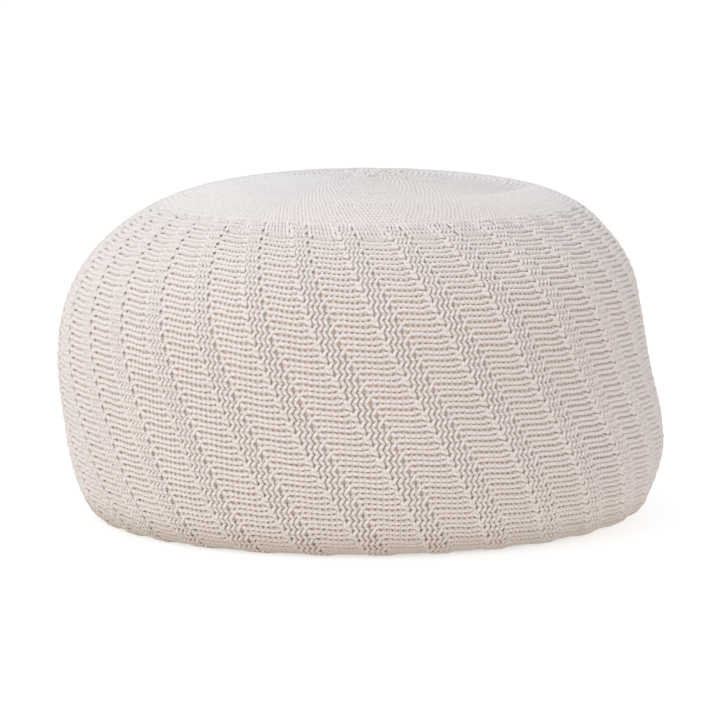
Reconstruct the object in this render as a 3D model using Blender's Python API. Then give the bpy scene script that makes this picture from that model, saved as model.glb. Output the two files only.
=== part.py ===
"""Knitted pouf: a round filled seat in one knitted cover, as one closed solid.

Units are metres and +Z is up. The origin is the middle of the flat base, on the surface that the pouf
stands on. The side is drawn in to a plain top whose middle is gathered, and ribs slant around it.
"""

import bmesh
import bpy
import numpy as np

# The upright section through the outermost yarn: height, and the radius there on the left (-X) and on
# the right (+X). The filling has settled to the right, so that side bulges lower. The front and the
# back are halfway between the two.
SECTION = (
    # height, left, right
    (0.000, 0.235, 0.220),
    (0.006, 0.245, 0.249),
    (0.030, 0.258, 0.266),
    (0.075, 0.269, 0.275),
    (0.125, 0.275, 0.265),
    (0.175, 0.273, 0.256),
    (0.220, 0.257, 0.247),
    (0.260, 0.222, 0.223),
    (0.288, 0.174, 0.187),
    (0.305, 0.102, 0.117),
    (0.312, 0.000, 0.000),
)
CROWN_ROWS_BEYOND = 2  # rows mirrored past the middle, so that the crown is level there

# Places along the section, measured over the surface from the edge of the flat base.
FOOT_END = 0.030  # the tight turn at the bottom ends here
SIDE_END = 0.322  # the ribs end here and the plain top begins
FOOT_ROWS = 4
SIDE_ROWS = 15
TOP_ROWS = 7

# Ribs: six columns of points to each, of which two carry the raised band of knit stitches.
RIB_COUNT = 30
RIB_COLUMNS = (1.0, 1.0, 0.0, 0.0, 0.0, 0.0)
RIB_DEPTH = 0.0025  # the ground between the ribs lies this far under them
RIB_FADE = 0.020  # length over which a rib rises out of the plain top and the base
STITCHES_ROUND = 360
COURSE = 0.005  # height of one row of stitches
COURSES_TO_A_STEP = 2  # a rib moves one stitch to the right in this many rows on its way down
FIRST_RIB = np.radians(-95.2)  # heading of a rib's left column at the top, a little left of the front

# The gathered middle of the top.
DIMPLE_DEPTH = 0.006
DIMPLE_RADIUS = 0.022
PUCKER_COUNT = 12
PUCKER_DEPTH = 0.0010
PUCKER_RADIUS = 0.045

FINE_STEPS = 400  # steps used to measure lengths along the section
CREAM = (0.76, 0.70, 0.63, 1.0)
YARN_ROUGHNESS = 0.95


def natural_cubic(knots, values, at):
    """Values of the smooth curve through (knots, values), one column each, at the places in at."""
    steps = np.diff(knots)
    slopes = np.diff(values, axis=0) / steps[:, None]
    system = np.eye(len(knots))
    bends = np.zeros_like(values)
    for i in range(1, len(knots) - 1):
        system[i, i - 1 : i + 2] = steps[i - 1], 2 * (steps[i - 1] + steps[i]), steps[i]
        bends[i] = 6 * (slopes[i] - slopes[i - 1])
    bends = np.linalg.solve(system, bends)
    left = np.clip(np.searchsorted(knots, at, side="right") - 1, 0, len(steps) - 1)
    step = steps[left][:, None]
    past = (at - knots[left])[:, None]
    to_go = step - past
    ends = (bends[left] * to_go**3 + bends[left + 1] * past**3) / (6 * step)
    line = (values[left] / step - bends[left] * step / 6) * to_go
    return ends + line + (values[left + 1] / step - bends[left + 1] * step / 6) * past


def section_curve():
    """Lengths over the surface from the base's edge, and the height and the two radii at each."""
    rows = np.array(SECTION)
    beyond = rows[-2 : -2 - CROWN_ROWS_BEYOND : -1] * (1, -1, -1)
    table = np.vstack([rows, beyond])
    chords = np.hypot(np.diff(table[:, 1:].mean(axis=1)), np.diff(table[:, 0]))
    knots = np.concatenate([[0.0], np.cumsum(chords)])
    curve = natural_cubic(knots, table, np.linspace(0.0, knots[len(rows) - 1], FINE_STEPS))
    lengths = np.hypot(np.diff(curve[:, 1:].mean(axis=1)), np.diff(curve[:, 0]))
    return np.concatenate([[0.0], np.cumsum(lengths)]), curve


def row_places(whole):
    """Where the rows of points lie on a section of this whole length, but for the top's middle."""
    foot = np.linspace(0.0, FOOT_END, FOOT_ROWS, endpoint=False)
    side = np.linspace(FOOT_END, SIDE_END, SIDE_ROWS, endpoint=False)
    top = np.linspace(SIDE_END, whole, TOP_ROWS, endpoint=False)
    return np.concatenate([foot, side, top])


def smooth_step(value):
    """0 below 0, 1 above 1, and a smooth rise between."""
    value = np.clip(value, 0.0, 1.0)
    return value * value * (3 - 2 * value)


def cover_points():
    """The rows of points of the cover, as an array of rows, columns and coordinates."""
    lengths, curve = section_curve()
    places = row_places(lengths[-1])
    height, left, right = (np.interp(places, lengths, column) for column in curve.T)
    columns = np.arange(RIB_COUNT * len(RIB_COLUMNS))
    steps = np.maximum(SIDE_END - places, 0.0) / (COURSE * COURSES_TO_A_STEP)
    turn = steps * 2 * np.pi / STITCHES_ROUND
    heading = FIRST_RIB + 2 * np.pi * columns / len(columns) + turn[:, None]
    radius = (left + right)[:, None] / 2 + (right - left)[:, None] / 2 * np.cos(heading)
    outward = np.stack([np.cos(heading), np.sin(heading)], axis=-1)

    # The ground sinks along the surface's normal, which is square to the section's own direction.
    along = np.gradient(np.stack([height, (left + right) / 2], axis=1), axis=0)
    along /= np.hypot(*along.T)[:, None]
    fade = smooth_step(places / RIB_FADE) * smooth_step((SIDE_END - places) / RIB_FADE)
    rib = np.tile(RIB_COLUMNS, RIB_COUNT)
    sink = RIB_DEPTH * fade[:, None] * (1 - rib)
    radius -= sink * along[:, :1]
    upright = height[:, None] + sink * along[:, 1:]

    # The gathering at the middle of the top.
    gather = np.exp(-((radius / DIMPLE_RADIUS) ** 2)) * DIMPLE_DEPTH
    reach = radius / PUCKER_RADIUS
    pucker = reach * np.exp(1 - reach**2) * (1 - np.cos(PUCKER_COUNT * heading)) / 2
    on_top = places[:, None] > SIDE_END
    upright -= np.where(on_top, gather + PUCKER_DEPTH * pucker, 0.0)
    return np.concatenate([outward * radius[..., None], upright[..., None]], axis=-1)


def cover_mesh(name):
    """The closed mesh of the cover: a flat base, the rows of quads and a fan at the top's middle."""
    grid = cover_points()
    rows, columns = grid.shape[:2]
    middle = (0.0, 0.0, SECTION[-1][0] - DIMPLE_DEPTH)
    points = np.vstack([grid.reshape(-1, 3), middle])
    points[:, :2] -= (points[:, :2].max(axis=0) + points[:, :2].min(axis=0)) / 2

    index = np.arange(rows * columns).reshape(rows, columns)
    beside = np.roll(index, -1, axis=1)
    quads = np.stack([index[:-1], beside[:-1], beside[1:], index[1:]], axis=-1).reshape(-1, 4)
    top = np.full(columns, rows * columns)
    fan = np.stack([index[-1], beside[-1], top], axis=-1)
    base = index[0][::-1]

    mesh = bpy.data.meshes.new(name)
    mesh.from_pydata(points.tolist(), [], [*quads.tolist(), *fan.tolist(), base.tolist()])
    shell = bmesh.new()
    shell.from_mesh(mesh)
    bmesh.ops.recalc_face_normals(shell, faces=shell.faces)
    for face in shell.faces:
        face.smooth = len(face.verts) <= 4
    shell.to_mesh(mesh)
    shell.free()
    return mesh


def yarn_material():
    """Matt cream yarn."""
    material = bpy.data.materials.new("cream_yarn")
    material.use_nodes = True
    surface = material.node_tree.nodes["Principled BSDF"]
    surface.inputs["Base Color"].default_value = CREAM
    surface.inputs["Roughness"].default_value = YARN_ROUGHNESS
    surface.inputs["Metallic"].default_value = 0.0
    return material


def main():
    for thing in list(bpy.data.objects):
        bpy.data.objects.remove(thing)
    mesh = cover_mesh("knitted_pouf")
    mesh.materials.append(yarn_material())
    pouf = bpy.data.objects.new("knitted_pouf", mesh)
    bpy.context.scene.collection.objects.link(pouf)


main()
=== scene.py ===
"""Looks of the knitted pouf: one closed ground over the filling, and the yarn knitted over it.

Units are metres and +Z is up. The yarn is carried stitch by stitch along each course of the knit, so
the ribs, the ridges and the holes between them are shape and not only shade.
"""

import logging
import math
from dataclasses import dataclass
from enum import Enum

import bpy
import numpy as np
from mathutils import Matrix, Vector


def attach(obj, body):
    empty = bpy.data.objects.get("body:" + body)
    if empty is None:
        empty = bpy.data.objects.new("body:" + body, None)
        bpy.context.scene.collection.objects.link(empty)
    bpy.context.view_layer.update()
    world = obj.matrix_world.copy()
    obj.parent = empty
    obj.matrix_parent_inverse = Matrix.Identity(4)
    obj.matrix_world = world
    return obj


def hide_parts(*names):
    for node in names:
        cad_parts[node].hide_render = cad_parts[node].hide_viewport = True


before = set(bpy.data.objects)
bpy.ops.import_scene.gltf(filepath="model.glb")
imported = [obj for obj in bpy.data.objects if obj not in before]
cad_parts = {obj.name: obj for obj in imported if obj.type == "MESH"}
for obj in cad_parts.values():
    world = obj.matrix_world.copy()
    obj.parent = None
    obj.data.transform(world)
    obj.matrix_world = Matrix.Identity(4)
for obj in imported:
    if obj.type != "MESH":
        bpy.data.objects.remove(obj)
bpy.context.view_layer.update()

LOG = logging.getLogger("knitted_pouf")
TAU = 2 * math.pi

# The upright section through the outermost yarn: height, and the radius there on the left (-X) and on
# the right (+X), the same as in the part's source.
SECTION = (
    # height, left, right
    (0.000, 0.235, 0.220),
    (0.006, 0.245, 0.249),
    (0.030, 0.258, 0.266),
    (0.075, 0.269, 0.275),
    (0.125, 0.275, 0.265),
    (0.175, 0.273, 0.256),
    (0.220, 0.257, 0.247),
    (0.260, 0.222, 0.223),
    (0.288, 0.174, 0.187),
    (0.305, 0.102, 0.117),
    (0.312, 0.000, 0.000),
)
CROWN_ROWS_BEYOND = 2  # rows mirrored past the middle, so that the crown is level there
SIDE_END = 0.3256  # place over the surface where the ribs end and the plain top begins
COURSE = 0.005  # height of one row of stitches
WALES = 360  # stitches round
YARN_RADIUS = 0.0018  # of the yarn where a stitch is FULL_WALE wide
FULL_WALE = 0.00476
NARROWING = 0.35  # power of a wale's width that the yarn's thickness follows
LOWEST_YARN = 0.0003  # the yarn is pressed flat against the floor


def natural_cubic(knots: np.ndarray, values: np.ndarray, at: np.ndarray) -> np.ndarray:
    """Smooth curve through points: a cubic between each two knots, with slope and bend unbroken.

    Args:
        knots: The parameter at each point, rising.
        values: One row for each knot.
        at: The parameters asked for.

    Returns:
        One row of values for each parameter in at.
    """
    steps = np.diff(knots)
    slopes = np.diff(values, axis=0) / steps[:, None]
    system = np.eye(len(knots))
    bends = np.zeros_like(values)
    for i in range(1, len(knots) - 1):
        system[i, i - 1 : i + 2] = steps[i - 1], 2 * (steps[i - 1] + steps[i]), steps[i]
        bends[i] = 6 * (slopes[i] - slopes[i - 1])
    bends = np.linalg.solve(system, bends)
    left = np.clip(np.searchsorted(knots, at, side="right") - 1, 0, len(steps) - 1)
    step = steps[left][:, None]
    past = (at - knots[left])[:, None]
    to_go = step - past
    ends = (bends[left] * to_go**3 + bends[left + 1] * past**3) / (6 * step)
    line = (values[left] / step - bends[left] * step / 6) * to_go
    return ends + line + (values[left + 1] / step - bends[left + 1] * step / 6) * past


def smooth_step(value: np.ndarray) -> np.ndarray:
    """0 below 0, 1 above 1, and three squares less two cubes between."""
    value = np.clip(value, 0.0, 1.0)
    return value * value * (3 - 2 * value)


class Kind(Enum):
    """What a stitch shows on the outside of the cover."""

    PURL_OPEN = 0
    PURL_CLOSE = 1
    PURL_OVER = 2
    PURL_JOIN = 3
    KNIT_RIGHT = 4
    KNIT_LEFT = 5
    KNIT_CURL = 6
    KNIT_FIRST_RIGHT = 7
    KNIT_FIRST_LEFT = 8
    PLAIN_RIGHT = 9
    PLAIN_LEFT = 10
    PURL_START = 11


# A stitch's yarn: across in wales from its left side, up in courses from the ridge at its foot, out in
# yarn radii from the yarn's own base line, and its thickness over the plain yarn's. The purl loop's legs
# cross, because the stitch is twisted. PLAIN_LEFT is PLAIN_RIGHT half a wale on, so that plain stitches
# are staggered.
STITCH = {
    Kind.PURL_OPEN: (
        (0.25, -0.10, 1.05, 1.12), (0.47, 0.46, 0.05, 0.56), (0.80, 0.98, 0.95, 1.05),
        (0.20, 1.04, 1.05, 1.12), (0.53, 0.46, 0.05, 0.56), (0.75, -0.10, 1.05, 1.12),
    ),
    Kind.PURL_CLOSE: (
        (0.25, 0.02, 1.05, 1.08), (0.54, 0.50, 0.28, 0.64), (0.86, 0.88, 0.95, 0.95),
        (0.34, 0.98, 1.05, 1.08), (0.60, 0.50, 0.28, 0.64), (0.75, 0.06, 1.05, 1.08),
    ),
    Kind.PURL_START: (
        (0.00, 0.30, -0.60, 0.80), (0.25, 0.02, 1.00, 0.95), (0.54, 0.50, 0.50, 0.75),
        (0.86, 0.88, 0.95, 0.90), (0.34, 0.98, 1.05, 1.05), (0.60, 0.50, 0.50, 0.75),
        (0.75, -0.10, 1.05, 1.05),
    ),
    Kind.PURL_OVER: (
        (0.25, -0.20, 1.00, 1.10), (0.56, 0.50, 0.50, 0.75), (0.88, 0.86, 0.95, 0.90),
        (0.38, 0.96, 1.05, 1.05), (0.62, 0.50, 0.50, 0.75), (0.75, -0.04, 1.05, 1.08),
    ),
    Kind.PURL_JOIN: (
        (0.00, 0.36, 0.30, 0.95), (0.24, 0.24, 1.05, 1.1), (0.50, 0.08, 1.05, 1.1),
        (0.75, -0.08, 1.05, 1.1),
    ),
    Kind.KNIT_RIGHT: (
        (0.00, 0.40, -0.9, 0.9), (0.17, -0.14, 1.05, 0.98), (0.22, 0.16, 1.2, 1.04),
        (0.78, 0.62, 1.2, 1.04), (0.83, 0.92, 1.1, 0.98),
    ),
    Kind.KNIT_LEFT: (
        (0.00, 0.40, -0.9, 0.9), (0.83, -0.06, 1.05, 0.96), (0.78, 0.20, 1.15, 0.86),
        (0.22, 0.60, 1.15, 0.80), (0.17, 0.86, 1.05, 0.92),
    ),
    Kind.KNIT_CURL: (
        (0.00, 0.40, -0.9, 0.9), (0.17, -0.14, 1.05, 1.05), (0.22, 0.16, 1.2, 1.05),
        (0.80, 0.56, 1.25, 1.0), (0.92, 0.92, 1.1, 1.1),
    ),
    Kind.KNIT_FIRST_RIGHT: (
        (0.00, -0.08, 0.95, 1.15), (0.22, -0.04, 0.95, 1.15), (0.54, 0.38, 1.10, 1.05),
        (0.82, 0.92, 1.1, 1.05),
    ),
    Kind.KNIT_FIRST_LEFT: (
        (0.02, -0.06, 0.90, 1.15), (0.82, -0.06, 0.85, 1.05), (0.54, 0.38, 1.05, 1.05),
        (0.20, 0.86, 0.90, 1.15),
    ),
    Kind.PLAIN_RIGHT: (
        (0.00, 0.40, -0.6, 0.6), (0.45, -0.25, 0.5, 0.90), (0.50, 0.40, 1.2, 1.42),
        (0.55, 1.05, 0.5, 0.90),
    ),
    Kind.PLAIN_LEFT: (
        (0.50, 0.40, -0.6, 0.6), (1.05, -0.25, 0.5, 0.90), (1.00, 0.40, 1.2, 1.42),
        (0.95, 1.05, 0.5, 0.90),
    ),
}
NO_SAMPLE = (0.0, 0.0, 0.0, 0.0)
STITCH_SAMPLES = np.array([len(STITCH[kind]) for kind in Kind])
MOST_SAMPLES = int(STITCH_SAMPLES.max())
STITCH_TABLE = np.array(
    [STITCH[kind] + (NO_SAMPLE,) * (MOST_SAMPLES - len(STITCH[kind])) for kind in Kind]
)
ARCH = np.radians((-15.0, 55.0, 125.0, 195.0))  # the yarn's outer side; its back is never seen
# The hollow values below make the mask of the yarn's painted shade: where it is high, the colour turns tan.
BASE_HOLLOW = 0.5  # how hollow the yarn's base line is
HOLLOW_FALL = 0.35  # how much less hollow it is a yarn radius further out
FLANK_HOLLOW = 0.60  # how much more hollow the yarn's flanks are than its crest


def yarn_radius(wale_width: np.ndarray) -> np.ndarray:
    """The yarn's radius where a wale is this wide: thinner where the knit narrows."""
    return YARN_RADIUS * (wale_width / FULL_WALE) ** NARROWING


def hollow_at(out: np.ndarray) -> np.ndarray:
    """How deep in the knit a sample lies: from about 0 at a stitch's crest to about 1 at its back."""
    return np.clip(BASE_HOLLOW - out * HOLLOW_FALL, 0, 1)


class Form:
    """The filled shape that the knit is stretched over, as points over its section and round it.

    A place is a length over the surface from the edge of the flat base, upwards; below 0 it is on the
    base. A heading is the angle round the upright axis from +X.
    """

    FINE_STEPS = 800  # steps used to measure lengths along the section
    STEP = 0.0005
    SOFTEN = 0.004  # the surface's direction is averaged over this much on both sides
    DIMPLE_DEPTH = 0.006
    DIMPLE_RADIUS = 0.022
    PUCKER_COUNT = 12
    PUCKER_DEPTH = 0.0012
    PUCKER_RADIUS = 0.045

    def __init__(self) -> None:
        """Works out the section's curve, its directions and the sideways shift that centres it."""
        rows = np.array(SECTION)
        beyond = rows[-2 : -2 - CROWN_ROWS_BEYOND : -1] * (1, -1, -1)
        table = np.vstack([rows, beyond])
        chords = np.hypot(np.diff(table[:, 1:].mean(axis=1)), np.diff(table[:, 0]))
        knots = np.concatenate([[0.0], np.cumsum(chords)])
        curve = natural_cubic(knots, table, np.linspace(0.0, knots[len(rows) - 1], self.FINE_STEPS))
        lengths = np.hypot(np.diff(curve[:, 1:].mean(axis=1)), np.diff(curve[:, 0]))
        lengths = np.concatenate([[0.0], np.cumsum(lengths)])
        self.whole = float(lengths[-1])
        self.edge = float(curve[0, 1:].mean())

        places = np.arange(-self.edge, self.whole, self.STEP)
        share = 1 + np.minimum(places, 0.0) / self.edge  # falls to 0 in the middle of the base
        columns = [np.interp(places, lengths, column) for column in curve.T]
        height, left, right = columns[0], columns[1] * share, columns[2] * share
        mean = (left + right) / 2
        self.places = places
        self.height, self.mean, self.half = height, mean, (right - left) / 2
        reach = int(self.SOFTEN / self.STEP)
        window = np.ones(2 * reach + 1) / (2 * reach + 1)
        along = np.stack([np.gradient(mean), np.gradient(height)])
        padded = np.pad(along, ((0, 0), (reach, reach)), mode="edge")
        along = np.stack([np.convolve(row, window, mode="valid") for row in padded])
        along /= np.hypot(*along)
        self.out, self.up = along[1], -along[0]
        self.shift = float((right.max() - left.max()) / 2)

    def mean_radius(self, place: np.ndarray) -> np.ndarray:
        """The middle of the left and right radius at a place."""
        return np.interp(place, self.places, self.mean)

    def drop(self, place: np.ndarray, radius: np.ndarray, heading: np.ndarray) -> np.ndarray:
        """How far the gathered top lies under the section: a bell in the middle, with puckers round it.

        Args:
            place: Places over the section.
            radius: Distances from the upright axis.
            heading: Headings.

        Returns:
            Depths in metres, 0 below the top.
        """
        bell = np.exp(-((radius / self.DIMPLE_RADIUS) ** 2)) * self.DIMPLE_DEPTH
        reach = radius / self.PUCKER_RADIUS
        pucker = reach * np.exp(1 - reach**2) * (1 - np.cos(self.PUCKER_COUNT * heading)) / 2
        return np.where(place > SIDE_END, bell + self.PUCKER_DEPTH * pucker, 0.0)

    def at(
        self, place: np.ndarray, heading: np.ndarray, depth: np.ndarray
    ) -> tuple[np.ndarray, np.ndarray]:
        """Points under the surface: the section's point less its direction times the depth.

        Args:
            place: Places over the section.
            heading: Headings, the same shape.
            depth: Depths under the surface, the same shape.

        Returns:
            The points, and the surface's outward directions there.
        """
        columns = (self.height, self.mean, self.half, self.out, self.up)
        height, mean, half, out, up = (np.interp(place, self.places, column) for column in columns)
        size = np.hypot(out, up)
        out, up = out / size, up / size
        radius = mean + half * np.cos(heading) - depth * out
        z = height - depth * up - self.drop(place, radius, heading)
        x = radius * np.cos(heading) - self.shift
        points = np.stack([x, radius * np.sin(heading), z], axis=-1)
        normals = np.stack([out * np.cos(heading), out * np.sin(heading), up], axis=-1)
        return points, normals


@dataclass(frozen=True)
class Ribbing:
    """Which stitches are knit and which are purl, and how the courses run through them."""

    repeat: int = 12
    rib: int = 4
    courses_to_a_step: int = 2
    slope_lag: float = 0.25  # in wales: a step's two courses lie this far either way of its mean slope
    first_wale: float = math.radians(-97.3)
    stand: float = 0.0016  # a rib stands this far above the ground between two
    fade: float = 0.020  # length over which the ribs rise out of the plain top
    knit_top: float = 2.1  # a knit stitch's crest over its base line, in yarn radii
    purl_top: float = 1.9  # the same for a purl stitch
    # The course in which each repeat's purl stitches begin, counted down from the plain top. Its rib
    # begins rib_before courses higher.
    late: tuple = (4, 4, 4, 3, 3, 2, 1, 2, 3, 2, 3, 4, 3, 2, 3, 4, 3, 2, 3, 2, 3, 3, 2, 1, 1, 2, 3, 4, 4, 4)
    rib_before: int = 3
    # How far the knit is pulled round, in degrees, at these azimuths from the front and these places, so
    # that the ribs lie as in the photograph.
    pull_places: tuple = (0.03, 0.12, 0.21, 0.31)
    pull: tuple = (
        (-65, (1.9, 0.7, 1.1, 4.0)),
        (-40, (-2.2, -0.2, -0.7, 1.9)),
        (-15, (0.8, 0.2, -0.7, 0.9)),
        (10, (2.8, 2.1, 1.4, 0.7)),
        (35, (3.7, 2.9, 2.3, 2.4)),
        (65, (5.5, 3.5, 4.2, 2.6)),
        (180, (3.0, 3.0, 2.4, 3.9)),
    )
    # How many courses the knit has risen at these azimuths and places, so that the courses lie as in
    # the photograph.
    rise_places: tuple = (0.0, 0.08, 0.15, 0.22, 0.32)
    rise: tuple = (
        (-80, (-0.3, 0.3, 1.2, 1.8, 1.6)),
        (-55, (-0.3, 0.55, 1.55, 2.0, 1.65)),
        (-30, (-0.9, 0.4, 0.3, 0.85, 1.6)),
        (-10, (-0.3, -0.1, -1.0, -0.9, 0.9)),
        (10, (-0.1, -0.4, -0.8, -0.85, 0.6)),
        (30, (0.0, -0.4, -0.95, -0.4, 1.5)),
        (55, (0.3, 0.3, 0.0, -0.05, 1.4)),
        (180, (0.0, 0.0, 0.0, 0.3, 1.2)),
    )
    # How many courses the knit rides up (lift_by) this many wales into the repeat (lift_at).
    lift_at: tuple = (
        0.0, 0.4, 1.0, 2.6, 3.2, 3.75, 4.25, 4.75, 5.4, 6.2, 8.5, 10.2, 10.75, 11.25, 11.7, 12.0,
    )
    lift_by: tuple = (
        0.66, 0.46, 0.39, 0.33, 0.30, 0.48, 0.69, 0.81, 0.86, 0.87, 0.69, 0.62, 0.76, 0.90, 0.84, 0.66,
    )

    # The grids made from pull and rise, and how far they are softened.
    GRID_STEP = 0.005  # between two places
    GRID_TOP = 0.35
    BELL_REACH = 24  # degrees round the pouf
    BELL_WIDTH = 9.0  # degrees round the pouf
    ROWS_REACH = 3  # grid steps up the side

    def along(self, wale: np.ndarray, down: np.ndarray) -> np.ndarray:
        """How far a wale is into its repeat, from the left side of a rib."""
        return np.mod(wale - down // self.courses_to_a_step, self.repeat)

    def kinds(self, wale: np.ndarray, down: np.ndarray) -> np.ndarray:
        """The kind of each stitch: a rib moves one wale to the right in every second course.

        Args:
            wale: Each stitch's wale.
            down: Its course, counted down from the plain top.

        Returns:
            The values of the kinds.
        """
        along = self.along(wale, down)
        first = down % self.courses_to_a_step == 0

        def either(on_first: Kind, on_second: Kind) -> np.ndarray:
            """One kind in the first course of a step and another in the second."""
            return np.where(first, on_first.value, on_second.value)

        knit = either(Kind.KNIT_RIGHT, Kind.KNIT_LEFT)
        knit = np.where(along == 0, either(Kind.KNIT_FIRST_RIGHT, Kind.KNIT_FIRST_LEFT), knit)
        knit = np.where(along == self.rib - 1, either(Kind.KNIT_CURL, Kind.KNIT_LEFT), knit)
        purl = either(Kind.PURL_OPEN, Kind.PURL_CLOSE)
        purl = np.where(along == self.rib, either(Kind.PURL_JOIN, Kind.PURL_START), purl)
        purl = np.where(along == self.rib + 1, either(Kind.PURL_OPEN, Kind.PURL_OVER), purl)
        kinds = np.where(along < self.rib, knit, purl)
        repeat = np.mod(wale - down // self.courses_to_a_step, WALES) // self.repeat
        start = np.array(self.late)[repeat]
        start = np.where(along < self.rib, start - self.rib_before, start)
        return np.where(down < start, either(Kind.PLAIN_RIGHT, Kind.PLAIN_LEFT), kinds)

    def into(self, turn: np.ndarray, down: np.ndarray) -> np.ndarray:
        """How many wales a point of a course is into its repeat, along the ribs' mean slope."""
        return np.mod(turn - down / self.courses_to_a_step + self.slope_lag, self.repeat)

    @classmethod
    def soft_grid(cls, table: tuple, at_places: tuple) -> np.ndarray:
        """A table's values at each degree of azimuth and each step of place, softened both ways.

        Each value becomes the mean of its neighbours round the pouf, weighted by a bell, and then the
        plain mean of its neighbours up the side.

        Args:
            table: For each azimuth, in degrees from the front, its values.
            at_places: The places of those values.

        Returns:
            A row for each degree of azimuth from -180, and a column for each step of place from 0.
        """
        azimuths = np.array([azimuth for azimuth, _ in table], float)
        values = np.array([row for _, row in table])
        degrees = np.arange(-180, 180)
        rows = [np.interp(degrees, azimuths, column, period=360) for column in values.T]
        places = np.arange(0, cls.GRID_TOP, cls.GRID_STEP)
        grid = np.stack([np.interp(places, at_places, row) for row in np.stack(rows, axis=1)])
        bell = np.exp(-((np.arange(-cls.BELL_REACH, cls.BELL_REACH + 1) / cls.BELL_WIDTH) ** 2))
        bell /= bell.sum()
        wrapped = np.concatenate([grid[-cls.BELL_REACH :], grid, grid[: cls.BELL_REACH]])
        grid = np.stack([np.convolve(column, bell, mode="valid") for column in wrapped.T], axis=1)
        padded = np.pad(grid, ((0, 0), (cls.ROWS_REACH, cls.ROWS_REACH)), mode="edge")
        window = np.ones(2 * cls.ROWS_REACH + 1) / (2 * cls.ROWS_REACH + 1)
        return np.stack([np.convolve(row, window, mode="valid") for row in padded])

    @classmethod
    def read(cls, grid: np.ndarray, heading: np.ndarray, place: np.ndarray) -> np.ndarray:
        """A grid's value at a heading and place: its four nearest values, weighted by nearness.

        Args:
            grid: A grid made by soft_grid.
            heading: Headings.
            place: Places over the section, the same shape.

        Returns:
            One value for each heading.
        """
        azimuth = np.degrees(heading) + 90
        across = np.mod(azimuth + 180, 360)
        last = grid.shape[1] - 1.001  # just inside the last column
        up = np.clip(place / cls.GRID_STEP, 0, last)
        i, j = np.floor(across).astype(int) % 360, np.floor(up).astype(int)
        s, t = across - np.floor(across), up - j
        after = (i + 1) % 360
        low = grid[i, j] * (1 - s) + grid[after, j] * s
        high = grid[i, j + 1] * (1 - s) + grid[after, j + 1] * s
        return low * (1 - t) + high * t

    def pulled(self, heading: np.ndarray, place: np.ndarray) -> np.ndarray:
        """A heading plus the pull there."""
        grid = self.soft_grid(self.pull, self.pull_places)
        return heading + np.radians(self.read(grid, heading, place))

    def risen(self, heading: np.ndarray, place: np.ndarray) -> np.ndarray:
        """How many courses the knit has risen there."""
        return self.read(self.soft_grid(self.rise, self.rise_places), heading, place)

    def lift(self, along: np.ndarray) -> np.ndarray:
        """How many courses the knit rides up at a point of the repeat: steep by a rib, then a slow fall."""
        return np.interp(along, self.lift_at, self.lift_by)

    def proud(self, along: np.ndarray, place: np.ndarray) -> np.ndarray:
        """How far the knit stands at the height of a rib.

        It is 1 on a rib and 0 between two, with a smooth step a wale wide at each side, and goes to 1
        everywhere near the plain top.

        Args:
            along: Wales into the repeat.
            place: Places over the section.

        Returns:
            Shares from 0 to 1.
        """
        into = np.minimum(smooth_step(along + 0.5), smooth_step(self.rib + 0.5 - along))
        into = np.maximum(into, smooth_step(along - self.repeat + 0.5))
        fade = smooth_step((SIDE_END - place) / self.fade)
        return 1 - fade * (1 - into)

    def base_line(self, radius: np.ndarray, along: np.ndarray, place: np.ndarray) -> np.ndarray:
        """How deep under the form's surface the yarn's base line lies, on the ribs and between them.

        Args:
            radius: The yarn's radius.
            along: Wales into the repeat.
            place: Places over the section.

        Returns:
            Depths in metres.
        """
        proud = self.proud(along, place)
        return self.knit_top * radius * proud + (self.purl_top * radius + self.stand) * (1 - proud)


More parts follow.
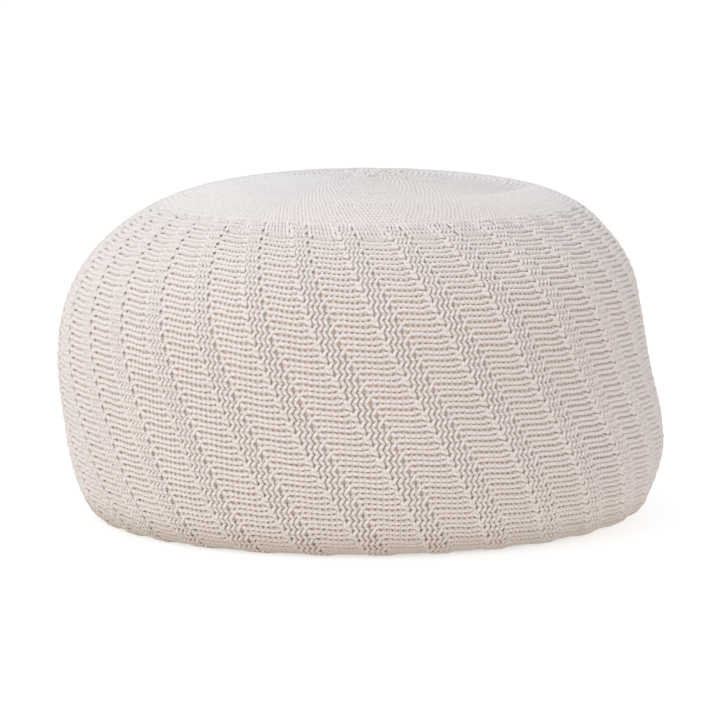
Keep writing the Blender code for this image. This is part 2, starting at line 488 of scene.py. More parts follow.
@dataclass
class YarnRings:
    """Closed rings of yarn, one behind another in flat arrays."""

    points: np.ndarray
    normals: np.ndarray
    radius: np.ndarray
    hollow: np.ndarray  # how deep in the knit each sample lies
    sizes: list[int]
    flat: np.ndarray  # the yarn's height over its width, at each sample

    ROW_LENGTH = 0.60  # a ring is cut into rows of about this length for its bake map
    MARGIN = 0.18  # of a row's height, free on both sides
    EDGE = 0.002  # of the map's width, free at both ends of a row
    LEAST = 1e-9  # no vector is divided by a length below this

    def neighbours(self) -> tuple[np.ndarray, np.ndarray]:
        """The rings' order.

        Returns:
            Each sample's next sample in its ring, and the one before it.
        """
        starts = np.concatenate([[0], np.cumsum(self.sizes)[:-1]])
        index = np.arange(sum(self.sizes))
        after, before = index + 1, index - 1
        ends = starts + np.array(self.sizes) - 1
        after[ends], before[starts] = starts, ends
        return after, before

    def arch(self) -> tuple[np.ndarray, np.ndarray, np.ndarray]:
        """The yarn's outer side: at each sample an arch square to the path.

        A point of the arch is the sample, plus the radius times the cosine of its angle to the side and
        the sine of it outwards.

        Returns:
            The points (samples, arch, 3), the quads, and the length along the ring at each sample.
        """
        after, before = self.neighbours()
        along = self.points[after] - self.points[before]
        along /= np.linalg.norm(along, axis=-1, keepdims=True)
        aside = np.cross(along, self.normals)
        aside /= np.maximum(np.linalg.norm(aside, axis=-1, keepdims=True), self.LEAST)
        outward = np.cross(aside, along)
        angle = ARCH[None, :, None]
        rise = self.flat[:, None, None] * np.sin(angle)
        spread = np.cos(angle) * aside[:, None] + rise * outward[:, None]
        arch = self.points[:, None] + self.radius[:, None, None] * spread
        arch[..., 2] = np.maximum(arch[..., 2], LOWEST_YARN)
        here = np.arange(len(self.points))[:, None] * len(ARCH) + np.arange(len(ARCH) - 1)
        there = after[:, None] * len(ARCH) + np.arange(len(ARCH) - 1)
        quads = np.stack([here, there, there + 1, here + 1], axis=-1)
        step = np.linalg.norm(self.points[after] - self.points, axis=-1)
        return arch, quads, step

    def mesh(self, name: str) -> bpy.types.Mesh:
        """The mesh, with its bake map, its pattern map and its hollow attribute.

        Args:
            name: Name of the mesh.

        Returns:
            The mesh, smooth shaded, with no material yet.
        """
        arch, quads, step = self.arch()
        count = len(self.points)
        faces = len(ARCH) - 1
        mesh = bpy.data.meshes.new(name)
        mesh.vertices.add(count * len(ARCH))
        mesh.vertices.foreach_set("co", arch.astype(np.float32).ravel())
        mesh.loops.add(count * faces * 4)
        mesh.loops.foreach_set("vertex_index", quads.astype(np.int32).ravel())
        mesh.polygons.add(count * faces)
        mesh.polygons.foreach_set("loop_start", np.arange(0, count * faces * 4, 4, dtype=np.int32))
        mesh.polygons.foreach_set("use_smooth", np.ones(count * faces, bool))

        bake, yarn = self.maps(step)
        for title, values in (("OFBake", bake), ("yarn", yarn)):
            layer = mesh.uv_layers.new(name=title)
            layer.uv.foreach_set("vector", values.astype(np.float32).ravel())
        # The hollow attribute is the mask of the yarn's painted shade; the flanks get more of it, as painted
        # shade between neighbouring yarns.
        hollow = mesh.attributes.new("hollow", "FLOAT", "POINT")
        depth = self.hollow[:, None] + (1 - np.sin(ARCH)) * FLANK_HOLLOW
        hollow.data.foreach_set("value", np.clip(depth, 0, 1).astype(np.float32).ravel())
        mesh.update(calc_edges=True)
        mesh.validate()
        return mesh

    def maps(self, step: np.ndarray) -> tuple[np.ndarray, np.ndarray]:
        """The two maps, by face corner.

        The bake map has the rows of yarn one above another, and the pattern map has the length along the
        ring and the way round the yarn, in metres.

        Args:
            step: Length from each sample to the next.

        Returns:
            The bake map and the pattern map, each (samples, faces, corners, 2).
        """
        rows_of, start_of, row_count, longest = self.rows(step)
        faces = len(ARCH) - 1
        total = np.concatenate([[0.0], np.cumsum(step)])[:-1]
        ring_start = np.repeat(np.concatenate([[0], np.cumsum(self.sizes)[:-1]]), self.sizes)
        girth = (ARCH - ARCH[0]) * YARN_RADIUS
        corners = np.array([(0, 0), (1, 0), (1, 1), (0, 1)])
        face = np.arange(faces)[None, :, None]

        def by_corner(first: np.ndarray) -> np.ndarray:
            """Lengths from each sample's first sample to its faces' corners."""
            return (total - total[first])[:, None, None] + step[:, None, None] * corners[:, 0]

        yarn = np.stack(np.broadcast_arrays(by_corner(ring_start), girth[face + corners[:, 1]]), axis=-1)
        along = self.EDGE + (1 - 2 * self.EDGE) * by_corner(start_of) / longest
        across = self.MARGIN + (1 - 2 * self.MARGIN) * (face + corners[:, 1]) / faces
        across = (rows_of[:, None, None] + across) / row_count
        return np.stack(np.broadcast_arrays(along, across), axis=-1), yarn

    def rows(self, step: np.ndarray) -> tuple[np.ndarray, np.ndarray, int, float]:
        """Cuts each ring into rows of about equal length for the bake map.

        Args:
            step: Length from each sample to the next.

        Returns:
            Each sample's row, each sample's first sample in that row, the number of rows and the
            longest row's length.
        """
        row, first, longest, count, start = [], [], 0.0, 0, 0
        for size in self.sizes:
            length = float(step[start : start + size].sum())
            parts = max(1, round(length / self.ROW_LENGTH))
            part = np.arange(size) * parts // size
            opening = start + np.searchsorted(part, np.arange(parts))
            row.append(count + part)
            first.append(opening[part])
            longest = max(longest, float(np.add.reduceat(step, opening)[:-1].max(initial=0.0)))
            last = step[opening[-1] : start + size].sum()
            longest = max(longest, float(last))
            count, start = count + parts, start + size
        return np.concatenate(row), np.concatenate(first), count, longest


@dataclass
class SideKnit:
    """The ribbed side: courses of knit and purl stitches from the plain top down to the base."""

    form: Form
    ribbing: Ribbing
    courses: int = 66
    bands: int = 5
    seed: int = 11
    jitter: float = 0.03  # in wales and courses
    swell: float = 0.0008  # the yarn stands this far outside the form
    flat: float = 0.85  # the yarn's height over its width
    plain_flat: float = 0.5  # the same in the plain stitches
    names: tuple = (
        "upper_side_knit", "shoulder_side_knit", "middle_side_knit", "lower_side_knit", "foot_side_knit",
    )

    def rings(self, first: int, last: int) -> YarnRings:
        """The yarn of some courses.

        A sample's heading is its wale's plus its share of a wale, its place is its course's plus its
        share of a course and the lift there, and its depth is the base line's less its own height.

        Args:
            first: First course, counted down from the plain top.
            last: The course after the last one.

        Returns:
            One closed ring for each course.
        """
        down = np.arange(first, last)[:, None]
        wale = np.arange(WALES)[None, :]
        kinds = self.ribbing.kinds(wale, down)
        table = STITCH_TABLE[kinds]
        across, up, out, thick = (table[..., i] for i in range(4))
        keep = np.arange(MOST_SAMPLES) < STITCH_SAMPLES[kinds][..., None]

        chance = np.random.default_rng(self.seed + first)
        loose = chance.normal(0.0, self.jitter, (2,) + kinds.shape + (1,))
        turn = wale[..., None] + across + loose[0]
        into = self.ribbing.into(turn, down[..., None])
        place = SIDE_END - (down[..., None] + 1 - up - self.ribbing.lift(into) - loose[1]) * COURSE
        heading = self.ribbing.pulled(self.ribbing.first_wale + turn * TAU / WALES, place)
        place = place + self.ribbing.risen(heading, place) * COURSE
        radius = yarn_radius(self.form.mean_radius(place) * TAU / WALES)
        depth = self.ribbing.base_line(radius, into, place) - out * radius - self.swell
        plain = (kinds == Kind.PLAIN_RIGHT.value) | (kinds == Kind.PLAIN_LEFT.value)
        flat = np.where(plain[..., None], self.plain_flat, self.flat) + 0 * out
        points, normals = self.form.at(place[keep], heading[keep], depth[keep])
        sizes = keep.sum(axis=(1, 2)).tolist()
        return YarnRings(points, normals, (radius * thick)[keep], hollow_at(out)[keep], sizes, flat[keep])

    def build(self) -> list[bpy.types.Object]:
        """Builds the bands of the side.

        Returns:
            One piece for each band, from the top down.
        """
        edges = np.linspace(0, self.courses, self.bands + 1).round().astype(int)
        return [
            piece(name, self.rings(first, last).mesh(name))
            for name, first, last in zip(self.names, edges[:-1], edges[1:])
        ]


@dataclass
class TopKnit:
    """The plain top: knit stitches in rings, with fewer round in each set of courses than in the last."""

    form: Form
    ribbing: Ribbing
    seed: int = 5
    # The course in which each set begins, counted inwards from the side, and its stitches round.
    sets: tuple = ((0, 300), (8, 240), (15, 180), (22, 126), (28, 84), (33, 48), (36, 24))
    fullness: float = 0.42  # the yarn's radius over a stitch's width
    jitter: float = 0.03  # in stitches and courses
    last_radius: float = 0.002  # the courses end this far from the top's middle
    middle_gap: float = 0.001  # and no sample comes nearer to it than this
    flat: float = 0.50  # the yarn's height over its width, beside the ribs
    flat_within: float = 0.26  # the same where the holes between the stitches have closed
    thick_within: float = 1.6  # a stitch's thickness there
    closing: float = 0.065  # length over which the holes close
    closing_from: float = 0.3  # share of that length before they begin to close

    def rings(self) -> YarnRings:
        """The yarn of the top's courses.

        A stitch's heading is its number plus its share across, over the stitches round; in every second
        course the stitches lie half a stitch further round.

        Returns:
            One closed ring for each course.
        """
        chance = np.random.default_rng(self.seed)
        count = int((self.form.whole - SIDE_END - self.last_radius) / COURSE)
        firsts = np.array([first for first, _ in self.sets])
        parts, sizes = [], []
        for course in range(count):
            middle = SIDE_END + (course + 0.5) * COURSE
            mean = float(self.form.mean_radius(np.array([middle]))[0])
            around = self.sets[int(np.searchsorted(firsts, course, side="right")) - 1][1]
            kind = Kind.PLAIN_RIGHT if course % 2 else Kind.PLAIN_LEFT
            table = np.array(STITCH[kind])[None]
            loose = chance.normal(0.0, self.jitter, (2, around, 1))
            closed = float(smooth_step(np.array((middle - SIDE_END) / self.closing - self.closing_from)))
            flat = self.flat + (self.flat_within - self.flat) * closed
            across, up, out = table[..., 0] + loose[0], table[..., 1] + loose[1], table[..., 2]
            thick = table[..., 3] + closed * (self.thick_within - table[..., 3]) * (out > 0)
            heading = self.ribbing.first_wale + (np.arange(around)[:, None] + across) * TAU / around
            place = SIDE_END + (course + up) * COURSE
            heading = self.ribbing.pulled(heading, place)
            left_to_go = (self.form.whole - place) / (self.form.whole - SIDE_END)
            place = place + self.ribbing.risen(heading, 0 * heading + SIDE_END) * COURSE * left_to_go
            radius = self.fullness * mean * TAU / around + 0 * across
            depth = (self.ribbing.knit_top - out) * radius * flat
            radius = radius * thick
            hollow = hollow_at(out) + 0 * across
            parts.append([a.ravel() for a in (place, heading, depth, radius, hollow, flat + 0 * heading)])
            sizes.append(heading.size)
        place, heading, depth, radius, hollow, flat = (np.concatenate(p) for p in zip(*parts))
        place = np.minimum(place, self.form.whole - self.middle_gap)
        points, normals = self.form.at(place, heading, depth)
        return YarnRings(points, normals, radius, hollow, sizes, flat)

    def build(self) -> bpy.types.Object:
        """The top's one piece."""
        return piece("top_knit", self.rings().mesh("top_knit"))


@dataclass
class CoverGround:
    """The closed ground under the yarn, which follows the ribs, and the flat base of the cover."""

    form: Form
    ribbing: Ribbing
    columns: int = 180
    before: float = 0.0007  # the ground lies this far outside the base line
    top_depth: float = 0.0030
    top_wale: float = 0.004  # a stitch's width on the top
    top_blend: float = 0.004  # the depth changes over this much on both sides of the side's end
    base_depth: float = 0.0006
    base_edge: float = -0.022  # place on the base where the ground has come down to the floor
    # The rows begin this share of the way to the base's middle and end this far from the top's. They lie
    # closer from place turn_from to turn_to, round the tight turn at the foot.
    base_share: float = 0.96
    middle_gap: float = 0.003
    turn_from: float = -0.030
    turn_to: float = 0.010
    base_rows: int = 8
    turn_rows: int = 10
    side_rows: int = 34
    top_rows: int = 24
    # The yarn covers the ground from this place on the base outwards, fully after this length.
    covered_from: float = -0.012
    covered_over: float = 0.006

    def places(self) -> np.ndarray:
        """The rows' places.

        Returns:
            The places, from near the middle of the base to near the middle of the top.
        """
        start = -self.form.edge * self.base_share
        base = np.linspace(start, self.turn_from, self.base_rows, endpoint=False)
        turn = np.linspace(self.turn_from, self.turn_to, self.turn_rows, endpoint=False)
        side = np.linspace(self.turn_to, SIDE_END, self.side_rows, endpoint=False)
        top = np.linspace(SIDE_END, self.form.whole - self.middle_gap, self.top_rows)
        return np.concatenate([base, turn, side, top])

    def depths(self, place: np.ndarray, turn: np.ndarray) -> np.ndarray:
        """How deep the ground lies: by the base line on the side, and at set depths on top and base.

        Args:
            place: The rows' places, as a column.
            turn: Each column's distance from the first wale, in wales, as a row.

        Returns:
            A depth for each row and column.
        """
        into = np.mod(turn + 0 * place, self.ribbing.repeat)
        width = self.form.mean_radius(place) * TAU / WALES
        radius = yarn_radius(np.where(place > SIDE_END, self.top_wale, width))
        depth = self.ribbing.base_line(radius, into, place) - self.before
        on_top = smooth_step((place - SIDE_END + self.top_blend) / (2 * self.top_blend))
        depth = depth + (self.top_depth - depth) * on_top
        settle = smooth_step((place - self.base_edge) / (-self.base_edge))
        return self.base_depth + (depth - self.base_depth) * settle

    def build(self) -> bpy.types.Object:
        """Builds rows of points round the form under the yarn, closed by a fan at both middles.

        Returns:
            The ground's one piece.
        """
        place = self.places()[:, None]
        turn = np.arange(self.columns)[None, :] * WALES / self.columns
        slope = (SIDE_END - place) / COURSE / self.ribbing.courses_to_a_step
        rough = self.ribbing.first_wale + (turn + slope) * TAU / WALES
        down = (SIDE_END - place) / COURSE + self.ribbing.risen(rough, place + 0 * turn)
        wale = turn + np.maximum(down, 0.0) / self.ribbing.courses_to_a_step
        heading = self.ribbing.pulled(self.ribbing.first_wale + wale * TAU / WALES, place + 0 * turn)
        points, _ = self.form.at(place + 0 * turn, heading, self.depths(place, turn))
        points[..., 2] = np.maximum(points[..., 2], self.base_depth)
        rows, columns = points.shape[:2]
        low = points[0].mean(axis=0)
        high = points[-1].mean(axis=0)
        verts = np.vstack([points.reshape(-1, 3), low, high])
        index = np.arange(rows * columns).reshape(rows, columns)
        beside = np.roll(index, -1, axis=1)
        quads = np.stack([index[:-1], beside[:-1], beside[1:], index[1:]], axis=-1).reshape(-1, 4)
        bottom = np.stack([beside[0], index[0], np.full(columns, rows * columns)], axis=-1)
        top = np.stack([index[-1], beside[-1], np.full(columns, rows * columns + 1)], axis=-1)
        mesh = bpy.data.meshes.new("cover_ground")
        mesh.from_pydata(verts.tolist(), [], [*quads.tolist(), *bottom.tolist(), *top.tolist()])
        mesh.polygons.foreach_set("use_smooth", np.ones(len(mesh.polygons), bool))
        # the ground's material turns tan where this is 1: partly the liner's own colour, partly painted
        # shade in the holes
        under = mesh.attributes.new("under_yarn", "FLOAT", "POINT")
        covered = smooth_step((place - self.covered_from) / self.covered_over) + 0 * turn
        under.data.foreach_set("value", np.concatenate([covered.ravel(), [0.0, 1.0]]).astype(np.float32))
        mesh.update(calc_edges=True)
        return piece("cover_ground", mesh)


def piece(name: str, mesh: bpy.types.Mesh) -> bpy.types.Object:
    """An object for a mesh, at the origin, unturned and unscaled.

    Args:
        name: The object's name.
        mesh: Its mesh.

    Returns:
        The object, linked to the scene.
    """
    thing = bpy.data.objects.new(name, mesh)
    bpy.context.scene.collection.objects.link(thing)
    return thing


class Nodes:
    """Short ways to place and join nodes in one tree."""

    def __init__(self, tree: bpy.types.NodeTree) -> None:
        """Keeps the tree."""
        self.tree = tree

    def add(self, kind: str, values: dict | None = None, **settings: object) -> bpy.types.Node:
        """Places a node, sets its own settings, and its inputs from numbers or from other sockets.

        Args:
            kind: The node's type.
            values: For each input's name or number, a value or an output socket.
            settings: The node's own settings.

        Returns:
            The node.
        """
        node = self.tree.nodes.new(kind)
        for key, value in settings.items():
            setattr(node, key, value)
        for key, value in (values or {}).items():
            socket = node.inputs[key]
            if isinstance(value, bpy.types.NodeSocket):
                self.tree.links.new(value, socket)
            else:
                socket.default_value = value
        return node

    def math(self, operation: str, *values: object) -> bpy.types.NodeSocket:
        """The result of a Math node."""
        return self.add("ShaderNodeMath", dict(enumerate(values)), operation=operation).outputs[0]

    def wave(self, phase: object) -> bpy.types.NodeSocket:
        """A row of arches: the sine of a phase, without its sign."""
        return self.math("ABSOLUTE", self.math("SINE", phase))

    def mix(self, factor: object, first: object, second: object, blend: str = "MIX") -> bpy.types.NodeSocket:
        """The result of a colour mix."""
        values = {0: factor, 6: first, 7: second}
        return self.add("ShaderNodeMix", values, data_type="RGBA", blend_type=blend).outputs[2]

    def drifted(
        self, drift: bpy.types.NodeTree, colour: object, position: object, strength: float
    ) -> bpy.types.NodeSocket:
        """A colour with the shared slow change of tone."""
        values = {"Color": colour, "Position": position, "Strength": strength}
        return self.add("ShaderNodeGroup", values, node_tree=drift).outputs["Color"]

    def dress(self, surface: bpy.types.Node, colour: object, height: object, relief: float) -> None:
        """Gives a surface its colour and its bump.

        Args:
            surface: The surface's node.
            colour: The colour.
            height: The bump's height.
            relief: Metres that a height of 1 stands for.
        """
        bump = self.add("ShaderNodeBump", {"Height": height, "Distance": relief, "Strength": 1.0})
        self.tree.links.new(colour, surface.inputs["Base Color"])
        self.tree.links.new(bump.outputs["Normal"], surface.inputs["Normal"])


def matt_material(
    name: str, roughness: float, specular: float
) -> tuple[bpy.types.Material, Nodes, bpy.types.Node]:
    """A new matt material.

    Args:
        name: The material's name.
        roughness: How rough its surface is.
        specular: How strongly it mirrors.

    Returns:
        The material, its nodes and its surface's node.
    """
    material = bpy.data.materials.new(name)
    material.use_nodes = True
    surface = material.node_tree.nodes["Principled BSDF"]
    surface.inputs["Roughness"].default_value = roughness
    surface.inputs["Specular IOR Level"].default_value = specular
    return material, Nodes(material.node_tree), surface


def shader_group(
    name: str, inputs: dict, outputs: dict
) -> tuple[bpy.types.NodeTree, Nodes, dict, bpy.types.Node]:
    """A new shader node group with named inputs and outputs.

    Args:
        name: The group's name.
        inputs: For each input its socket type and start value.
        outputs: For each output its socket type.

    Returns:
        The group, its nodes, its inputs by name and its output node.
    """
    group = bpy.data.node_groups.new(name, "ShaderNodeTree")
    for title, (kind, value) in inputs.items():
        socket = group.interface.new_socket(title, in_out="INPUT", socket_type=kind)
        if value is not None:
            socket.default_value = value
    for title, kind in outputs.items():
        group.interface.new_socket(title, in_out="OUTPUT", socket_type=kind)
    nodes = Nodes(group)
    entry = nodes.add("NodeGroupInput")
    return group, nodes, {title: entry.outputs[title] for title in inputs}, nodes.add("NodeGroupOutput")


def tone_drift_group() -> bpy.types.NodeTree:
    """Slow change of tone over a surface: a soft noise that lightens and darkens a colour.

    Returns:
        The group.
    """
    group, nodes, given, out = shader_group(
        "tone_drift",
        {
            "Color": ("NodeSocketColor", (1, 1, 1, 1)),
            "Position": ("NodeSocketVector", None),
            "Scale": ("NodeSocketFloat", 12.0),
            "Strength": ("NodeSocketFloat", 0.05),
        },
        {"Color": "NodeSocketColor"},
    )
    values = {"Vector": given["Position"], "Scale": given["Scale"], "Detail": 3.0}
    noise = nodes.add("ShaderNodeTexNoise", values)
    swing = nodes.math("MULTIPLY", nodes.math("SUBTRACT", noise.outputs["Fac"], 0.5), given["Strength"])
    value = nodes.math("ADD", 1.0, swing)
    tinted = nodes.add("ShaderNodeHueSaturation", {"Color": given["Color"], "Value": value})
    nodes.tree.links.new(tinted.outputs["Color"], out.inputs["Color"])
    return group


def twisted_yarn_group() -> bpy.types.NodeTree:
    """Plies and fibres of a yarn, from a map in metres along and round it.

    The plies are a sine of the length along divided by the lay plus the way round divided by the girth,
    times the number of plies; the fibres are a noise drawn out along them.

    Returns:
        The group.
    """
    fibre_skew = -1.25  # metres that a fibre runs round the yarn for each metre along it
    fibre_stretch = 0.16  # the noise's scale along the yarn over its scale round it
    rounding = 0.6  # power that rounds a ply's height
    fuzz = 0.5  # the fibres' height over a ply's
    groove_width = 0.5  # power that narrows the groove between two plies
    group, nodes, given, out = shader_group(
        "twisted_yarn",
        {
            "Map": ("NodeSocketVector", None),
            "Plies": ("NodeSocketFloat", 4.0),
            "Lay": ("NodeSocketFloat", 0.009),
            "Girth": ("NodeSocketFloat", 0.0113),
            "Fibre scale": ("NodeSocketFloat", 900.0),
        },
        {"Height": "NodeSocketFloat", "Groove shade": "NodeSocketFloat"},
    )
    split = nodes.add("ShaderNodeSeparateXYZ", {0: given["Map"]})
    along, round_it = split.outputs[0], split.outputs[1]
    lays = nodes.math("DIVIDE", along, given["Lay"])
    turns = nodes.math("ADD", lays, nodes.math("DIVIDE", round_it, given["Girth"]))
    ply = nodes.wave(nodes.math("MULTIPLY", nodes.math("MULTIPLY", turns, given["Plies"]), math.pi))
    skew = nodes.math("SUBTRACT", round_it, nodes.math("MULTIPLY", along, fibre_skew))
    drawn = nodes.add("ShaderNodeCombineXYZ", {0: skew, 1: nodes.math("MULTIPLY", along, fibre_stretch)})
    values = {"Vector": drawn.outputs[0], "Scale": given["Fibre scale"], "Detail": 2.0}
    fibre = nodes.math("MULTIPLY", nodes.add("ShaderNodeTexNoise", values).outputs["Fac"], fuzz)
    height = nodes.math("ADD", nodes.math("POWER", ply, rounding), fibre)
    nodes.tree.links.new(height, out.inputs["Height"])
    # The second output is a mask for painted shade in the grooves between the plies: 1 in a groove, 0 on a
    # ply's crest.
    groove = nodes.math("SUBTRACT", 1.0, nodes.math("POWER", ply, groove_width))
    nodes.tree.links.new(groove, out.inputs["Groove shade"])
    return group


@dataclass(frozen=True)
class YarnFinish:
    """Matt cream yarn, plied and slightly fuzzy, with painted shade: browner deep in the knit, darker by the
    floor.
    """

    cream: tuple = (0.720, 0.670, 0.632, 1.0)
    # painted shade: the yarn turns to this tan deep in the knit, on its flanks and in its ply grooves
    tan: tuple = (0.800, 0.655, 0.540, 1.0)
    roughness: float = 0.92
    specular: float = 0.2
    sheen: float = 0.12
    sheen_roughness: float = 0.6
    lay: float = 0.009  # length in which the plies go round once
    relief: float = 0.00022
    drift: float = 0.05
    painted_shade_from: float = 0.35  # the yarn begins to turn tan where it is this hollow
    # painted shade in the grooves between the plies
    groove_painted_shade: float = 0.25  # how far the grooves between the plies go towards tan
    # painted contact shade: the yarn is darker towards the floor
    floor_painted_shade: tuple = (0.77, 0.73, 0.68, 1.0)  # the colour is multiplied by this at the floor
    floor_painted_shade_reach: float = 0.032  # and less and less up to this height

    def material(self, drift: bpy.types.NodeTree, twist: bpy.types.NodeTree) -> bpy.types.Material:
        """The yarn's material.

        Args:
            drift: The shared group for slow change of tone.
            twist: The shared group for plies and fibres.

        Returns:
            The material.
        """
        material, nodes, surface = matt_material("cream_yarn_knitted", self.roughness, self.specular)
        position = nodes.add("ShaderNodeTexCoord").outputs["Object"]
        length = nodes.add("ShaderNodeUVMap", uv_map="yarn").outputs["UV"]
        yarn = nodes.add("ShaderNodeGroup", {"Map": length, "Lay": self.lay}, node_tree=twist)
        # Painted shade: the hollow attribute turns the cream to tan deep in the knit and on the yarn's
        # flanks.
        hollow = nodes.add("ShaderNodeAttribute", attribute_name="hollow").outputs["Fac"]
        hollow_shade = nodes.add("ShaderNodeMapRange", {0: hollow, 1: self.painted_shade_from, 2: 1.0, 3: 0.0, 4: 1.0})
        hollow_shaded = nodes.mix(hollow_shade.outputs[0], self.cream, self.tan)
        # Painted shade in the ply grooves: they go part of the way to tan.
        groove_shade = nodes.math("MULTIPLY", yarn.outputs["Groove shade"], self.groove_painted_shade)
        groove_shaded = nodes.mix(groove_shade, hollow_shaded, self.tan)
        tone = nodes.drifted(drift, groove_shaded, position, self.drift)
        # Painted contact shade: the colour is multiplied darker towards the floor, fading out by the reach's
        # height.
        height = nodes.add("ShaderNodeSeparateXYZ", {0: position}).outputs["Z"]
        span = {"Value": height, "From Min": 0.0, "From Max": self.floor_painted_shade_reach, "To Min": 1.0, "To Max": 0.0}
        low = nodes.add("ShaderNodeMapRange", span, interpolation_type="SMOOTHSTEP").outputs["Result"]
        colour = nodes.mix(low, tone, self.floor_painted_shade, blend="MULTIPLY")
        nodes.dress(surface, colour, yarn.outputs["Height"], self.relief)
        surface.inputs["Sheen Weight"].default_value = self.sheen
        surface.inputs["Sheen Roughness"].default_value = self.sheen_roughness
        return material


@dataclass(frozen=True)
class GroundFinish:
    """The ground under the yarn: tan where the yarn covers it, and plain cream knit on the base."""

    # tan: partly the liner's own colour seen through the holes, partly painted shade in them
    tan: tuple = (0.820, 0.655, 0.525, 1.0)
    cream: tuple = (0.720, 0.670, 0.632, 1.0)
    roughness: float = 0.95
    specular: float = 0.15
    drift: float = 0.06
    stitch: float = 0.0048
    lean: float = 2.2  # how far a stitch's legs lean, as phase of its course
    rounding: float = 0.5  # power that rounds the columns, and the way from tan to cream
    relief: float = 0.0012

    def material(self, drift: bpy.types.NodeTree) -> bpy.types.Material:
        """The ground's material.

        A stitch's height is one row of arches across the columns, rounded, times another up the courses,
        which leans with the first.

        Args:
            drift: The shared group for slow change of tone.

        Returns:
            The material.
        """
        material, nodes, surface = matt_material("cream_knit_ground", self.roughness, self.specular)
        position = nodes.add("ShaderNodeTexCoord").outputs["Object"]
        under = nodes.add("ShaderNodeAttribute", attribute_name="under_yarn").outputs["Fac"]
        split = nodes.add("ShaderNodeSeparateXYZ", {0: position})
        wale = nodes.wave(nodes.math("MULTIPLY", split.outputs[0], math.pi / self.stitch))
        course = nodes.math("MULTIPLY", split.outputs[1], math.pi / self.stitch)
        loops = nodes.wave(nodes.math("ADD", course, nodes.math("MULTIPLY", wale, self.lean)))
        knit = nodes.math("MULTIPLY", loops, nodes.math("POWER", wale, self.rounding))
        height = nodes.math("MULTIPLY", knit, nodes.math("SUBTRACT", 1.0, under))
        # Painted shade: the base's knit is tan in the low parts of its relief and cream on its loops.
        base = nodes.mix(nodes.math("POWER", knit, self.rounding), self.tan, self.cream)
        # Under the yarn the ground is tan: partly the liner's colour, partly painted shade in the holes
        # between the stitches.
        tone = nodes.drifted(drift, nodes.mix(under, base, self.tan), position, self.drift)
        nodes.dress(surface, tone, height, self.relief)
        return material


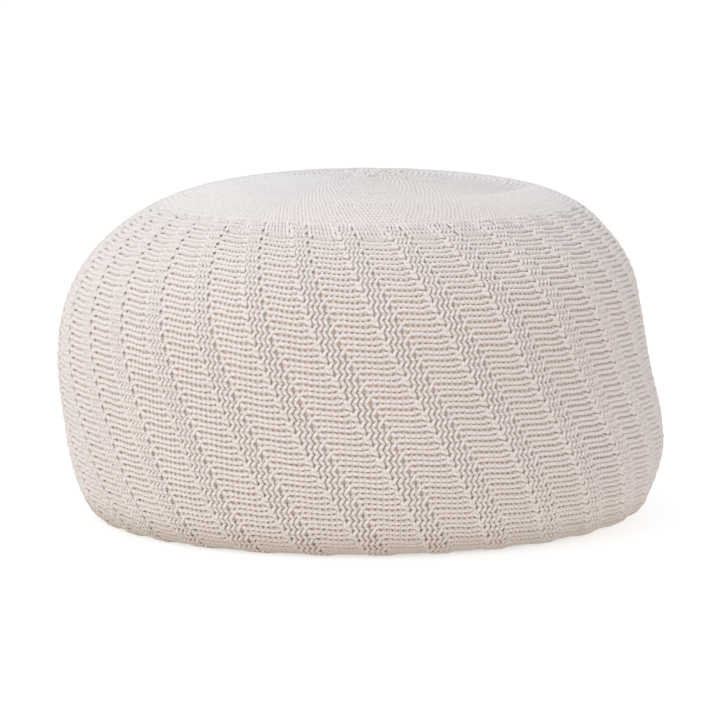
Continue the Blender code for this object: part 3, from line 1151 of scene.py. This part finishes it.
@dataclass(frozen=True)
class Studio:
    """The plain pale floor, the soft light and the camera at the photograph's angle."""

    distance: float = 3.6
    elevation: float = math.radians(7.0)
    pivot: float = 0.17  # height of the middle of the camera's circle
    aim: tuple = (-0.00094, 0.0, 0.1393)
    lens: float = 198.0
    sensor: float = 36.0
    floor: tuple = (0.24, 0.24, 0.24, 1.0)
    floor_half: float = 30.0
    glow: float = 0.80  # the floor's own light, so that hardly any shadow is seen on it
    glow_colour: tuple = (1.02, 1.0, 0.98, 1.0)
    glow_from: tuple = (0.185, 0.245)  # distance from the pouf's middle over which the glow begins
    # The surround's light: an even part, and parts that grow upwards, to the left and to the front.
    even: tuple = (0.447, 0.420, 0.440)
    above: tuple = (0.039, 0.310, 0.520)
    left: tuple = (0.650, 0.628, 0.582)
    front: tuple = (0.524, 0.350, 0.256)
    key: float = 10.9  # watts
    key_colour: tuple = (0.755, 0.890, 1.0)
    key_size: float = 1.4
    key_place: tuple = (-1.2, -1.2, 1.9)
    key_aim: tuple = (0.0, 0.0, 0.15)

    def camera(self) -> None:
        """Places the camera on its circle round the pouf's middle and points it a little lower."""
        lens = bpy.data.cameras.new("camera")
        lens.lens, lens.sensor_width = self.lens, self.sensor
        camera = bpy.data.objects.new("camera", lens)
        out, up = math.cos(self.elevation), math.sin(self.elevation)
        camera.location = (0.0, -self.distance * out, self.pivot + self.distance * up)
        aim = Vector(self.aim) - camera.location
        camera.rotation_euler = aim.to_track_quat("-Z", "Y").to_euler()
        bpy.context.scene.collection.objects.link(camera)
        bpy.context.scene.camera = camera

    def ground(self) -> None:
        """Lays the floor."""
        mesh = bpy.data.meshes.new("floor")
        ends = (-self.floor_half, self.floor_half)
        mesh.from_pydata([(x, y, 0) for y in ends for x in ends], [], [(0, 1, 3, 2)])
        floor = piece("floor", mesh)
        material, nodes, surface = matt_material("pale_floor", roughness=1.0, specular=0.0)
        surface.inputs["Base Color"].default_value = self.floor
        surface.inputs["Emission Color"].default_value = self.glow_colour
        place = nodes.add("ShaderNodeTexCoord").outputs["Object"]
        away = nodes.add("ShaderNodeVectorMath", {0: place}, operation="LENGTH").outputs["Value"]
        near, far = self.glow_from
        spread = {"Value": away, "From Min": near, "From Max": far, "To Min": 0.0, "To Max": self.glow}
        glow = nodes.add("ShaderNodeMapRange", spread, interpolation_type="SMOOTHSTEP").outputs["Result"]
        nodes.tree.links.new(glow, surface.inputs["Emission Strength"])
        mesh.materials.append(material)

    def surround(self) -> None:
        """The light from all round: the even part, plus each other part times its share.

        Upwards the share is the height of the direction, to the left half of one less its X, and to the
        front half of one less its Y.
        """
        world = bpy.data.worlds.new("surround")
        bpy.context.scene.world = world
        world.use_nodes = True
        nodes = Nodes(world.node_tree)
        direction = nodes.add("ShaderNodeTexCoord").outputs["Generated"]
        toward = nodes.add("ShaderNodeSeparateXYZ", {0: direction})
        shares = (
            nodes.math("MAXIMUM", toward.outputs["Z"], 0.0),
            nodes.math("MULTIPLY_ADD", toward.outputs["X"], -0.5, 0.5),
            nodes.math("MULTIPLY_ADD", toward.outputs["Y"], -0.5, 0.5),
        )
        light: object = self.even
        for share, colour in zip(shares, (self.above, self.left, self.front)):
            parts = {0: share, 1: colour, 2: light}
            light = nodes.add("ShaderNodeVectorMath", parts, operation="MULTIPLY_ADD").outputs["Vector"]
        world.node_tree.links.new(light, world.node_tree.nodes["Background"].inputs["Color"])

    def lights(self) -> None:
        """The surround and one large soft light from the upper left."""
        self.surround()
        lamp = bpy.data.lights.new("key_light", "AREA")
        lamp.energy, lamp.size, lamp.color = self.key, self.key_size, self.key_colour
        key = bpy.data.objects.new("key_light", lamp)
        key.location = self.key_place
        key.rotation_euler = (Vector(self.key_aim) - key.location).to_track_quat("-Z", "Y").to_euler()
        bpy.context.scene.collection.objects.link(key)
        bpy.context.scene.view_settings.view_transform = "Standard"

    def build(self) -> None:
        """Camera, floor and lights."""
        self.camera()
        self.ground()
        self.lights()


def triangle_count(mesh: bpy.types.Mesh) -> int:
    """The triangles that a mesh's faces make: for each face two fewer than its corners."""
    return len(mesh.loops) - 2 * len(mesh.polygons)


def corners(box: tuple) -> list[list[float]]:
    """A box as plain lists of numbers."""
    return [[float(value) for value in corner] for corner in box]


def main() -> None:
    """Builds each part of the cover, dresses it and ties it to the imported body."""
    logging.basicConfig(level=logging.INFO, format="%(name)s: %(message)s")
    form, ribbing = Form(), Ribbing()
    drift, twist = tone_drift_group(), twisted_yarn_group()
    yarn = YarnFinish().material(drift, twist)
    ground = CoverGround(form, ribbing).build()
    ground.data.materials.append(GroundFinish().material(drift))
    knits = [*SideKnit(form, ribbing).build(), TopKnit(form, ribbing).build()]
    for knit in knits:
        knit.data.materials.append(yarn)
    for thing in (ground, *knits):
        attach(thing, "root")
        LOG.info("%s: %d triangles", thing.name, triangle_count(thing.data))
    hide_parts("knitted_pouf")
    Studio().build()


if __name__ == "__main__":
    main()
